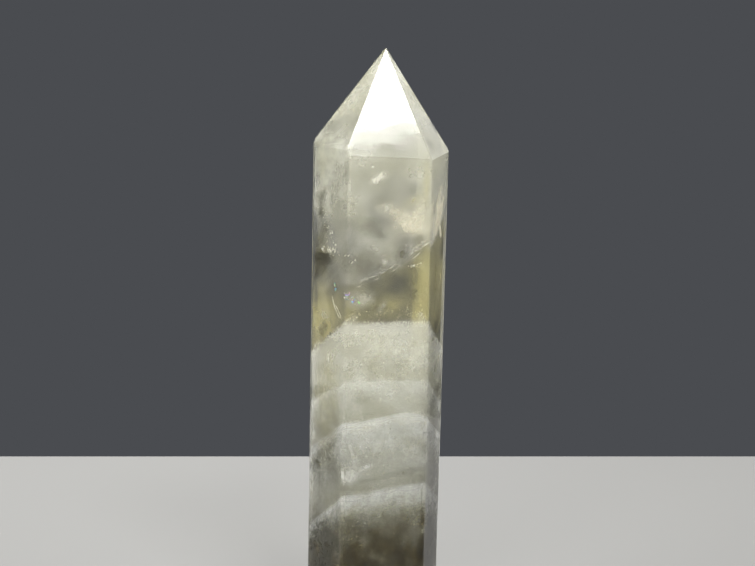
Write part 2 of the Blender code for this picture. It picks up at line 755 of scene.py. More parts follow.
CLOUD_TONES = (
    (0.0, "#B5AB66"),               # honey haze
    (0.15, "#F2F2EE"),              # milk
    (0.35, "#CBCABC"),              # pale grey
    (0.58, "#96937A"),              # olive
    (0.80, "#5D4F23"),              # brown
    (1.0, "#2B230F"),               # dark root
)
# The grey end of the film tones is painted shade on the films.
FILM_TONES = ((0.0, "#F8F9FA"), (1.0, "#A3A296"))
VEIL_TONES = ((0.0, "#E6E5E6"), (1.0, "#8D8A7E"))
# Dark tones: smoky quartz in the sectors, and painted shade as well in the smoke patches.
SMOKE_AND_SHADE_TONES = ((0.0, "#77766A"), (0.5, "#4A4939"), (1.0, "#241F14"))
CREAM_TONES = ((0.0, "#F6F5EE"), (1.0, "#F5E6BC"))

# ---------------------------------------------------------------------------
# What grew inside
# ---------------------------------------------------------------------------


@dataclass(frozen=True)
class Band:
    """One old crystal face, dusted white: a bright film on it and cloud below it.

    top is where the film meets the front side, in mm up the axis, and rise how much higher it
    lies for each mm to the right. film is the film's density and cloud the cloud's, per mm. The
    cloud's tint runs from the first stain under the film to the last above the next band.
    """

    top: float
    film: float
    cloud: float
    stains: tuple[float, float]
    # Painted shade: how far the film is greyed, so that films the lamps light more look no brighter than the
    # others.
    film_painted_shade: float = 0.0
    film_depth: float = 0.6         # mm over which the film thins to a third
    ragged: float = 0.25            # how far the film wanders up and down, mm
    rise: float = 0.0
    patchy: float = 0.5             # how uneven its cloud is
    left: float = 0.0               # how much higher it lies for each mm round the left flank
    soft: float = 0.25              # how softly its cloud begins, mm
    fades: float = 0.0              # share of the film that is missing round the left flank


@dataclass(frozen=True)
class Pool:
    """A place with more caught in it, or with less: its middle, its half sizes and how much."""

    across: float
    up: float
    half_width: float
    half_height: float
    much: float

    def share(self, across: Array, up: Array) -> Array:
        """How far into the pool each place is: exp(-d squared), with d in half sizes."""
        aside = (across - self.across) / self.half_width
        above = (up - self.up) / self.half_height
        return np.exp(-(aside**2 + above**2))


@dataclass(frozen=True)
class Growth:
    """How the stone grew: how much is caught in the quartz at each place, and how stained.

    A place's level is up + fall x (inward - front), which follows the old crystal faces: they
    meet the front side level and slope down from it to the back and round both flanks.
    """

    front: float = -9.7             # about where the front side lies, inward, in mm
    fall: float = 0.94              # how far an old face drops for each mm inward
    bands: tuple[Band, ...] = (
        # The fifth value of a band is the painted shade on its film.
        Band(75.3, 0.9, 0.15, (0.31, 0.36), 0.20, rise=-0.025, patchy=0.7),
        Band(63.1, 1.5, 0.12, (0.25, 0.44), 0.10, left=0.42),
        Band(55.0, 2.2, 0.15, (0.14, 0.36), 0.0, 2.6, 0.5, 0.085, 0.6, 0.2, fades=0.45),
        Band(47.0, 0.25, 0.11, (0.28, 0.50), 0.20, 0.9, 0.9, -0.08, 0.8),
        Band(39.3, 1.5, 0.24, (0.14, 0.37), 0.0, 1.6, 0.25, 0.14, 0.3),
        Band(34.0, 0.0, 0.24, (0.73, 0.92), 0.0, 1.0, 0.8, 0.05, 1.0, soft=0.8),
    )
    haze: float = 0.052             # density over the great veil, per mm
    clear: float = 0.022            # and under it
    tip_haze: float = 0.07          # more of it in the point
    tip_from: float = 104.0         # up the axis, where the point's own haze is half there
    root_depth: float = 30.0        # mm over which the lowest cloud comes to its last stain
    hollow: Pool = Pool(-12.0, 88.0, 4.5, 7.5, 0.9)     # clear quartz, by this share
    pools: tuple[Pool, ...] = (
        Pool(-13.0, 72.5, 4.5, 5.5, 0.24),
        Pool(-12.0, 106.0, 4.5, 6.5, 0.26),
        Pool(-11.0, 97.5, 3.5, 4.5, 0.12),
        Pool(12.0, 82.0, 4.0, 10.0, 0.05),
    )

    def level(self, own: Array) -> Array:
        """Each place's level, in mm."""
        return own[:, 2] + self.fall * (own[:, 1] - self.front)

    def top(self, number: int, own: Array) -> Array:
        """A band's level over each place, with its tilt and its unevenness.

        Args:
            number: which band, counted from the top.
            own: N by 3 places in the stone's own directions.

        Returns:
            N levels, in mm.
        """
        band = self.bands[number]
        tilt = band.rise * own[:, 0] + band.left * np.maximum(FLANK_EDGE - own[:, 0], 0.0)
        return band.top + tilt + band.ragged * waves(own, 60 + number, 11.0, 2)

    def upper(self, own: Array) -> tuple[Array, Array]:
        """What is caught above the first band: a haze over the great veil, and little under it.

        Args:
            own: N by 3 places in the stone's own directions.

        Returns:
            Density, per mm, and tint.
        """
        across, inward, up = own.T
        rim = GreatVeil.rim_height(across) + 0.25 * (inward - self.front)
        over = soft_step((up - rim) / 0.8)
        patch = lumps(own, 77, 11.0, 0.9, (0.1, 2.2), about=0.85)
        density = (self.clear + (self.haze - self.clear) * over) * patch
        density += self.tip_haze * soft_step((up - self.tip_from) / 3.0)
        density *= 1.0 - self.hollow.much * self.hollow.share(across, up)
        for pool in self.pools:
            density += pool.much * pool.share(across, up)
        tint = 0.03 + over * (0.27 + 0.08 * waves(own, 31, 10.0))
        return density, tint

    def fill(self, own: Array) -> tuple[Array, Array]:
        """What is caught at each place, band after band from the top.

        Args:
            own: N by 3 places in the stone's own directions.

        Returns:
            Density, per mm, and tint.
        """
        level = self.level(own)
        density, tint = self.upper(own)
        for number, band in enumerate(self.bands):
            top = self.top(number, own)
            last = number == len(self.bands) - 1
            height = self.root_depth if last else band.top - self.bands[number + 1].top
            down = np.clip((top - level) / height, 0.0, 1.0)
            here = band.cloud * lumps(own, 90 + number, 6.0, band.patchy, (0.1, 2.5))
            lean = band.stains[0] + (band.stains[1] - band.stains[0]) * down**1.3
            lean = lean + (0.04 + 0.10 * down + 0.15 * last) * waves(own, 120, 5.0)
            lean = lean + 0.10 * round_flank(own, FLANK_EDGE)
            under = soft_step((top - level) / band.soft)
            density = density * (1.0 - under) + here * under
            tint = tint * (1.0 - under) + lean * under
        return density, tint


@dataclass
class CloudBody:
    """All that is spread through the quartz, as parallel layers a little apart.

    The layers stand nearly upright and face 30 degrees to the right of the front side, so that a
    view straight from the front, the back or either side doesn't look along them. A layer's alpha
    is 1 - exp(-density x spacing).
    """

    stone: StoneBody
    growth: Growth
    facing: Point = (0.50, -0.85, 0.10)
    spacing: float = 2.0
    margin: float = 1.3
    wave: float = 0.5

    def build(self) -> bpy.types.Object:
        """All the layers, as one piece.

        Returns:
            The piece.
        """
        surface = Surface()
        middle = self.stone.place(0.0, 0.0, 65.0)[0]
        facing = self.stone.place(*self.facing)[0]
        facing /= np.linalg.norm(facing)
        for offset in np.arange(-26.0, 26.0, self.spacing):
            layer = self.stone.cross_section(middle + facing * offset, facing, 1.0, 17, self.margin)
            if layer is None:
                continue
            points, quads = layer
            lift = self.wave * waves(points, int(abs(offset) * 10.0) + 7, 12.0)
            points = self.stone.keep_inside(points + lift[:, None] * facing, self.margin)
            density, tint = self.growth.fill(self.stone.own(points))
            surface.add(points, quads, 1.0 - np.exp(-density * self.spacing), tint)
        finish = Dust("caught_dust", CLOUD_TONES, grain_mm=1.3, uneven=(0.75, 1.2))
        return surface.build("cloud_body", finish.build(), MILKY_SLOT)


@dataclass
class SkinCloud:
    """The cloud's outermost millimetres, as a sheet just inside every facet but the base.

    Below the first old crystal face it carries the grain that shows through the polish; above it
    the sheet is a smooth haze in drifts.
    """

    stone: StoneBody
    growth: Growth
    depth: float = 0.75
    stands_for: float = 2.4         # mm of cloud that the sheet takes the place of
    row: float = 0.7
    columns: int = 16

    def build(self) -> list[bpy.types.Object]:
        """The grainy part and the smooth part.

        Returns:
            The pieces.
        """
        grainy, smooth = Surface(), Surface()
        for number, (normal, centre) in enumerate(zip(self.stone.normals, self.stone.centres)):
            if normal[2] < -0.5:
                continue
            place = centre - normal * self.depth
            points, quads = self.stone.cross_section(place, normal, self.row, self.columns, 0.4)
            lift = 0.10 * waves(points, 700 + number, 5.0, 2)
            points = self.stone.keep_inside(points + lift[:, None] * normal, 0.3)
            own = self.stone.own(points)
            density, tint = self.growth.fill(own)
            above = self.growth.level(own) > self.growth.top(0, own)
            grains = lumps(points, 720, 3.0, 0.35, (0.2, 2.0))
            stained = tint + 0.08 * waves(points, 730 + number, 4.0)
            veil = 1.0 - np.exp(-density * grains * self.stands_for)
            grainy.add(points, quads, np.where(above, 0.0, veil), stained)
            stretched = own * np.array([0.7, 1.0, 1.0])
            drifts = lumps(stretched, 726, 9.0, 0.8, (0.15, 2.0), octaves=2)
            veil = 1.0 - np.exp(-density * drifts * self.stands_for)
            smooth.add(points, quads, np.where(above, veil, 0.0), tint)
        dust = Dust("dust_under_polish", CLOUD_TONES, grain_mm=0.5, uneven=(0.82, 1.18), mottle=0.16)
        haze = Dust("haze_under_polish", CLOUD_TONES, grain_mm=2.5, uneven=(0.8, 1.15), mottle=0.05)
        return [
            grainy.build("skin_cloud", dust.build(), MILKY_SLOT),
            smooth.build("skin_haze", haze.build(), MILKY_SLOT),
        ]


@dataclass
class PhantomFilms:
    """The bright films of the old crystal faces: a few sheets close together for each."""

    stone: StoneBody
    growth: Growth
    drops: tuple[float, ...] = (0.0, 0.3, 0.7, 1.3, 2.2)
    cells: int = 36

    def build(self) -> bpy.types.Object:
        """All the sheets, as one piece. A sheet's alpha is 1 - exp(-density x the gap below it).

        Returns:
            The piece.
        """
        surface = Surface()
        normal = self.stone.upward + self.growth.fall * self.stone.inward
        for number, band in enumerate(self.growth.bands):
            for drop, following in zip(self.drops, self.drops[1:]):
                if band.film * math.exp(-drop / band.film_depth) * (following - drop) < 0.03:
                    continue
                height = band.top - drop + self.growth.fall * self.growth.front
                centre = self.stone.keep_inside(self.stone.place(0.0, 0.0, height), 0.8)[0]
                sheet = Sheet(centre, normal, self.stone.across, wave=0.0, cells=self.cells)
                flat, quads, _ = sheet.points(self.stone)
                own = self.stone.own(flat)
                crumple = 0.2 * drop * waves(own, 150 + int(10 * drop), 4.0)
                lift = self.growth.top(number, own) - band.top + crumple
                points = self.stone.keep_inside(flat + lift[:, None] * self.stone.upward, 0.2)
                density = band.film * math.exp(-drop / band.film_depth)
                stands = lumps(points, 140, 5.0, 0.18, (0.5, 1.4), octaves=2)
                stands = stands * np.clip(self.stone.depth(points) - 0.1, 0.08, 1.0)
                stands = stands * (1.0 - band.fades * round_flank(own, FLANK_EDGE + 0.5))
                veil = 1.0 - np.exp(-density * stands * (following - drop))
                # The film's grey is painted shade.
                surface.add(points, quads, veil, band.film_painted_shade)
        finish = Dust("phantom_film", FILM_TONES, uneven=(0.9, 1.08), glow=0.75)
        return surface.build("phantom_films", finish.build(), MILKY_SLOT)


@dataclass
class GreatVeil:
    """A healed crack across the upper half, climbing to the back and right, with a bright rim."""

    stone: StoneBody
    depth: float = -6.2             # inward place of its rim
    run: float = 12.0               # how far it goes back, mm
    climb: float = 10.0             # and how far it rises over that
    cells: int = 60
    rim_radius: float = 0.07
    starts: float = -9.5            # across, and how far it goes to the right
    width: float = 21.0
    threads: tuple[tuple[float, float, float, int, float], ...] = (
        (-8.4, 9.8, 0.0, 303, 0.60),        # from and to across, mm lower, seed, brightness
        (-6.0, 7.5, 0.9, 305, 0.34),
        (-2.0, 9.0, -0.7, 307, 0.22),
    )

    @staticmethod
    def rim_height(across: Array) -> Array:
        """Up the axis, against the place across: gentle at the left, steep at the right."""
        part = (np.asarray(across) + 8.5) / 16.0
        return 82.1 + 3.3 * part + 4.6 * np.maximum(part, 0.0) ** 2.0

    def build(self) -> list[bpy.types.Object]:
        """The veil, and the thread of its rim.

        Returns:
            The pieces.
        """
        u, t = (part.ravel() for part in np.meshgrid(*[np.linspace(0.0, 1.0, self.cells + 1)] * 2))
        across = self.starts + self.width * u
        up = self.rim_height(across) + self.climb * t**0.8
        flat = self.stone.place(across, self.depth + self.run * t, up)
        lift = 0.35 * waves(flat, 301, 5.0)
        points = self.stone.keep_inside(flat + lift[:, None] * self.stone.upward, 0.3)
        quads = grid_quads(self.cells, self.cells)
        body = 0.16 * (1.0 - t) ** 1.5 + 0.06
        veil = body * lumps(points, 302, 5.0, 0.7, (0.15, 2.0), octaves=2)
        veil *= np.clip(6.0 * u * (1.0 - u), 0.0, 1.0)
        surface = Surface()
        surface.add(points, quads, veil, 0.12)
        finish = Dust("healed_crack", VEIL_TONES, grain_mm=0.8)
        sheet = surface.build("great_veil", finish.build(), MILKY_SLOT)

        thread = Surface()
        for start, end, lower, seed, strength in self.threads:
            along = np.linspace(start, end, 90)
            path = self.stone.place(along, self.depth, self.rim_height(along) - lower)
            path = path + 0.22 * waves(path, seed, 3.0)[:, None] * self.stone.upward
            path = self.stone.keep_inside(path, 0.4)
            bright = strength * lumps(path, seed + 1, 3.5, 0.8, (0.05, 1.3), octaves=2, about=0.5)
            thread.add(*tube(path, self.rim_radius), np.repeat(bright, THREAD_SIDES))
        rim = thread.build("veil_rim", Crack("bright_rim").build(), MILKY_SLOT)
        return [sheet, rim]


@dataclass(frozen=True)
class Patch:
    """One patch in the quartz, bright or dull.

    Its place, long way and facing are in the stone's own directions, and its half sizes in mm.
    veil is how strong it is in the middle and tint its colour lean, both from 0 to 1.
    """

    place: Point
    long_way: Point
    facing: Point
    half_sizes: tuple[float, float]
    veil: float = 0.9
    tint: float = 0.3
    seed: int = 1
    bow: float = 0.1                # its own unevenness, mm
    core: float = 2.0               # how broad its dense middle is: 2 is soft, 4 broad

    def sheet(self, stone: StoneBody, centre: Array, wave_length: float, cells: int) -> Sheet:
        """The sheet that the patch is painted on.

        Args:
            stone: the stone that it lies in.
            centre: its middle in the frame, in mm.
            wave_length: of its own unevenness, in mm.
            cells: cells along one side.

        Returns:
            The sheet, not yet worked out.
        """
        return Sheet(
            centre,
            stone.place(*self.facing)[0],
            stone.place(*self.long_way)[0],
            self.half_sizes,
            wave=self.bow,
            wave_length=wave_length,
            seed=self.seed,
            cells=cells,
            margin=0.3,
        )


@dataclass
class Glints:
    """Fresh cracks with air in them, which catch the light as white and cream patches."""

    stone: StoneBody
    glints: tuple[Patch, ...] = (
        Patch((6.6, -5.6, 95.0), (1.0, 0.25, 0.2), (-0.1, -0.8, 0.5), (3.8, 1.5), 0.09, 0.40, 401),
        Patch((11.2, -3.6, 96.2), (0.30, 0.5, 1.0), (0.75, -0.6, 0.0), (4.4, 0.8), 0.65, 0.40, 403),
        Patch((10.9, -4.6, 95.4), (0.45, 0.8, 1.0), (0.85, -0.5, 0.0), (4.9, 1.2), 0.70, 0.35, 402),
        Patch((-1.9, -8.2, 104.5), (1.0, 0.0, 0.66), (0.1, -0.9, 0.3), (2.4, 0.95), 0.60, 0.20, 404),
        Patch((-3.3, -8.8, 106.8), (1.0, 0.0, 0.2), (0.0, -1.0, 0.2), (0.26, 0.22), 1.0, 0.0, 405, 0.0),
        Patch((-7.9, -8.9, 42.0), (0.05, 0.0, 1.0), (0.0, -1.0, 0.1), (2.2, 0.50), 0.46, 0.0, 406),
        Patch((-6.9, -8.9, 41.9), (0.15, 0.0, 1.0), (0.0, -1.0, 0.1), (2.0, 0.45), 0.28, 0.0, 407),
        Patch((-5.8, -8.9, 42.3), (0.30, 0.0, 1.0), (0.0, -1.0, 0.1), (1.7, 0.45), 0.20, 0.0, 408),
        Patch((-4.1, -8.9, 43.2), (0.90, 0.0, 0.8), (0.0, -1.0, 0.1), (1.8, 0.45), 0.16, 0.0, 409),
        Patch((-2.9, -8.9, 43.8), (1.00, 0.0, 0.5), (0.0, -1.0, 0.1), (1.6, 0.40), 0.16, 0.0, 410),
    )

    def build(self) -> bpy.types.Object:
        """Every patch, as one piece: dense in the middle, feathered into streaks at the edge.

        Returns:
            The piece.
        """
        surface = Surface()
        for glint in self.glints:
            sheet = glint.sheet(self.stone, self.stone.place(*glint.place)[0], 3.0, 24)
            points, quads, radius = sheet.points(self.stone)
            edge = np.clip(1.15 - radius + 0.30 * waves(points, glint.seed, 1.6), 0.0, 1.0)
            surface.add(points, quads, glint.veil * np.clip(edge * 1.6, 0.0, 1.0), glint.tint)
        return surface.build("crack_glints", Crack("air_filled_crack").build(), MILKY_SLOT)


@dataclass
class Wisps:
    """Loose soft patches at different depths: cloud, smoky haze that is partly painted shade, and warm light
    in the quartz.

    A patch's alpha falls off from its middle as exp(-2.2 r^core) (1 - r^6), with lumps in it.
    """

    stone: StoneBody
    lumpy: float = 0.3

    def build(self, wisps: tuple[Patch, ...], name: str, finish: Dust) -> bpy.types.Object:
        """Make one piece of some patches that share a finish.

        Args:
            wisps: the patches.
            name: the piece's name.
            finish: what they are made of.

        Returns:
            The piece.
        """
        surface = Surface()
        for wisp in wisps:
            centre = self.stone.keep_inside(self.stone.place(*wisp.place), 0.5)[0]
            sheet = wisp.sheet(self.stone, centre, 5.0, 26)
            points, quads, radius = sheet.points(self.stone)
            stands = lumps(points, wisp.seed + 50, 4.0, self.lumpy, (0.2, 1.6))
            fade = np.exp(-2.2 * radius**wisp.core) * (1.0 - radius**6)
            surface.add(points, quads, wisp.veil * fade * stands, wisp.tint)
        return surface.build(name, finish.build(), MILKY_SLOT)


@dataclass(frozen=True)
class Sector:
    """Smoky growth under one side: the side's bearing from the front, its tint and its strength.

    strength is pairs of height up the axis, in mm, and alpha, in rising order.
    """

    bearing: float
    tint: float
    strength: tuple[tuple[float, float], ...]


@dataclass
class SmokySectors:
    """Flat dark hazes just inside the three front sides, each strongest 22 to 24 mm up the axis."""

    stone: StoneBody
    sectors: tuple[Sector, ...] = (
        Sector(
            60.0,
            0.95,
            ((2, 0.45), (14, 0.76), (24, 0.97), (30, 0.96), (40, 0.84))
            + ((50, 0.68), (60, 0.52), (72, 0.32), (84, 0.14), (90, 0.0)),
        ),
        Sector(
            300.0,
            0.62,
            ((2, 0.40), (14, 0.72), (22, 0.96), (26, 0.95), (31, 0.52))
            + ((36, 0.20), (42, 0.80), (47, 0.60), (55, 0.28), (62, 0.0)),
        ),
        Sector(0.0, 0.80, ((2, 0.15), (14, 0.35), (24, 0.36), (32, 0.15), (36, 0.0))),
    )
    depths: tuple[float, ...] = (0.7, 1.5)
    clear_to: float = -9.5          # inward place up to which the layers of a flank are open
    fills_over: float = 3.5         # mm further in over which they come to their full strength

    def build(self) -> bpy.types.Object:
        """Two layers under each such side, as one piece.

        Returns:
            The piece.
        """
        surface = Surface()
        level = self.stone.place(0.0, 0.0, 1.0)[0]
        for sector in self.sectors:
            turn = math.radians(sector.bearing)
            outward = math.sin(turn) * self.stone.across - math.cos(turn) * self.stone.inward
            side = np.argmax(self.stone.normals @ outward)
            normal = self.stone.normals[side]
            heights, alphas = np.array(sector.strength).T
            for step, depth in enumerate(self.depths):
                middle = self.stone.place(0.0, 0.0, 55.0)[0]
                middle = middle + normal * (self.stone.offsets[side] - depth - normal @ middle)
                lie = {"wave": 0.15, "wave_length": 9.0, "seed": 310 + step, "cells": 44}
                sheet = Sheet(middle, normal, level, **lie)
                points, quads, _ = sheet.points(self.stone)
                whole = np.interp(self.stone.own(points)[:, 2], heights, alphas)
                whole = whole * lumps(points, 330 + step, 6.0, 0.4, (0.2, 1.5), about=0.95)
                if sector.bearing:
                    further_in = self.stone.own(points)[:, 1] - self.clear_to
                    whole *= np.clip(further_in / self.fills_over, 0.0, 1.0)
                alpha = 1.0 - (1.0 - np.clip(whole, 0.0, 0.97)) ** (1.0 / len(self.depths))
                surface.add(points, quads, alpha, sector.tint)
        finish = Dust("smoky_sector", SMOKE_AND_SHADE_TONES, glow=0.3)
        return surface.build("smoky_sectors", finish.build(), MILKY_SLOT)


# Dark patches: partly smoky quartz, partly painted shade laid where thin haze leaves the quartz dark.
SMOKE_AND_SHADE_WISPS = (
    Patch((-3.6, -8.4, 94.6), (1.0, 0.0, 0.3), (0.1, -1.0, 0.1), (3.2, 2.4), 0.72, 0.20, 601),
    Patch((-1.8, -6.8, 93.0), (1.0, 0.0, -0.4), (-0.2, -0.9, 0.2), (2.8, 1.5), 0.45, 0.20, 602),
    Patch((3.1, -8.6, 88.8), (0.35, 0.0, 1.0), (0.1, -1.0, 0.1), (2.8, 1.6), 0.76, 0.30, 603),
    Patch((5.5, -8.2, 102.2), (1.0, 0.0, 0.5), (0.0, -1.0, 0.2), (2.2, 2.0), 0.40, 0.25, 604),
    Patch((-7.0, -7.5, 90.4), (0.3, 0.0, 1.0), (-0.3, -0.9, 0.1), (3.2, 1.6), 0.22, 0.25, 605),
    Patch((-5.4, -7.6, 86.6), (1.0, 0.0, -0.1), (-0.1, -0.9, 0.2), (4.6, 3.4), 0.62, 0.30, 619),
    Patch((-0.5, -7.2, 86.0), (1.0, 0.0, 0.4), (-0.1, -0.9, 0.2), (3.6, 1.6), 0.45, 0.30, 629),
    Patch((-13.0, -1.4, 85.2), (0.36, -0.62, 0.7), (-0.8, -0.5, 0.0), (5.0, 2.8), 0.80, 0.75, 620, 0.1, 3.5),
    Patch((-12.2, -2.8, 87.0), (0.5, -0.86, 0.2), (-0.8, -0.5, 0.0), (4.2, 1.9), 0.75, 0.75, 606, 0.1, 3.5),
    Patch((-13.2, -1.0, 87.4), (0.1, -0.2, 1.0), (-0.8, -0.5, 0.0), (3.2, 2.6), 0.55, 0.70, 646, 0.1, 3.0),
    Patch((-12.6, -2.2, 93.6), (0.5, -0.86, -0.4), (-0.8, -0.5, 0.0), (4.2, 1.6), 0.22, 0.35, 656),
    Patch((-12.4, -2.0, 90.8), (0.5, -0.86, 0.6), (-0.8, -0.5, 0.0), (3.4, 1.6), 0.26, 0.50, 607),
    Patch((-12.4, -1.6, 96.6), (0.3, 0.3, 1.0), (-0.8, -0.5, 0.1), (2.6, 1.4), 0.70, 0.60, 608),
    Patch((-11.4, -2.8, 93.4), (0.7, 0.9, -0.5), (-0.8, -0.5, 0.1), (3.4, 1.2), 0.40, 0.50, 609),
    Patch((12.4, -2.4, 88.5), (0.1, 0.2, 1.0), (0.8, -0.5, 0.1), (5.0, 1.3), 0.60, 0.40, 610),
    Patch((2.6, -8.6, 65.4), (1.0, 0.0, 0.05), (0.0, -1.0, 0.2), (2.0, 1.1), 0.42, 0.12, 611),
    Patch((-4.3, -8.6, 58.4), (1.0, 0.0, 0.1), (0.0, -1.0, 0.2), (2.8, 1.0), 0.40, 0.10, 612),
    Patch((-9.0, -6.2, 43.0), (0.3, 0.5, 1.0), (-0.8, -0.5, 0.1), (4.0, 2.0), 0.30, 0.15, 613),
    Patch((4.8, -8.5, 42.2), (1.0, 0.0, 0.20), (0.0, -1.0, 0.2), (7.0, 1.1), 0.62, 0.18, 614),
    Patch((-3.2, -8.5, 40.6), (1.0, 0.0, 0.16), (0.0, -1.0, 0.2), (4.5, 0.7), 0.50, 0.18, 615),
    Patch((10.8, -4.0, 73.2), (0.2, 0.4, 1.0), (0.8, -0.5, 0.1), (4.0, 1.8), 0.75, 0.75, 616),
    Patch((-11.8, -2.6, 71.8), (0.5, 0.6, -0.4), (-0.8, -0.5, 0.1), (3.0, 1.4), 0.60, 0.45, 617),
    Patch((6.0, -8.0, 80.5), (1.0, 0.0, 0.2), (0.0, -1.0, 0.2), (3.5, 2.5), 0.25, 0.20, 618),
    Patch((-1.4, -8.4, 77.6), (1.0, 0.0, 0.1), (0.0, -1.0, 0.2), (4.0, 0.8), 0.50, 0.40, 630),
    Patch((7.2, 2.0, 82.0), (0.0, 0.0, 1.0), (0.0, -1.0, 0.0), (9.0, 1.5), 0.90, 0.20, 654, 0.0),
    Patch((-3.0, -7.8, 81.6), (1.0, 0.0, 0.3), (0.0, -1.0, 0.2), (4.0, 2.0), 0.35, 0.00, 655),
    Patch((-12.7, -1.7, 99.3), (0.3, -0.5, 0.8), (-0.8, -0.5, 0.1), (3.4, 2.0), 0.55, 0.45, 659),
    Patch((-5.5, -8.6, 83.8), (1.0, 0.0, 0.2), (0.0, -1.0, 0.1), (3.2, 2.2), 0.58, 0.00, 660),
    Patch((-3.6, -8.4, 90.0), (1.0, 0.0, -0.2), (0.0, -1.0, 0.1), (2.8, 1.8), 0.42, 0.05, 661),
    Patch((-10.4, -5.8, 83.2), (0.5, -0.86, 0.5), (-0.8, -0.5, 0.0), (3.4, 2.2), 0.36, 0.15, 663),
    Patch((9.2, -5.6, 110.6), (0.5, 0.6, -0.6), (0.5, -0.6, 0.6), (3.4, 1.9), 0.54, 0.00, 664, 0.0, 3.0),
    Patch((1.2, -8.4, 110.9), (1.0, 0.0, 0.0), (0.0, -0.9, 0.4), (4.6, 1.5), 0.30, 0.00, 665, 0.0, 3.0),
)
WARM_WISPS = (
    Patch((4.8, -7.4, 95.4), (1.0, 0.0, 0.05), (0.0, -1.0, 0.1), (7.2, 4.4), 0.38, 0.35, 621, 0.0),
    Patch((5.8, -6.8, 95.0), (1.0, 0.0, 0.1), (0.0, -1.0, 0.1), (5.6, 3.4), 0.50, 0.22, 658, 0.0),
    Patch((5.4, -6.2, 94.8), (1.0, 0.0, -0.2), (0.0, -1.0, 0.1), (3.8, 2.2), 0.66, 0.20, 622, 0.0),
    Patch((7.2, -5.6, 98.0), (0.5, 0.0, 1.0), (0.0, -1.0, 0.1), (4.4, 1.5), 0.40, 0.35, 623, 0.0),
    Patch((1.6, -5.0, 97.4), (1.0, 0.0, -0.35), (0.0, -1.0, 0.1), (5.4, 2.2), 0.35, 0.35, 624, 0.0),
    Patch((11.2, -5.0, 96.4), (0.28, 0.5, 1.0), (0.85, -0.5, 0.0), (6.8, 3.0), 0.88, 0.20, 625, 0.0),
    Patch((10.6, -5.2, 95.0), (0.4, 0.7, 0.9), (0.85, -0.5, 0.0), (4.8, 2.6), 0.85, 0.20, 653, 0.0, 3.0),
    Patch((10.4, -4.4, 99.0), (0.30, 0.5, 1.0), (0.85, -0.5, 0.0), (5.0, 1.4), 0.80, 0.30, 626, 0.0),
    Patch((11.6, -3.8, 93.0), (-0.25, -0.45, 1.0), (0.85, -0.5, 0.0), (3.6, 1.0), 0.70, 0.30, 627, 0.0),
    Patch((12.4, -3.0, 82.6), (0.12, 0.2, 1.0), (0.85, -0.5, 0.0), (4.4, 0.6), 0.40, 0.90, 628, 0.0),
)
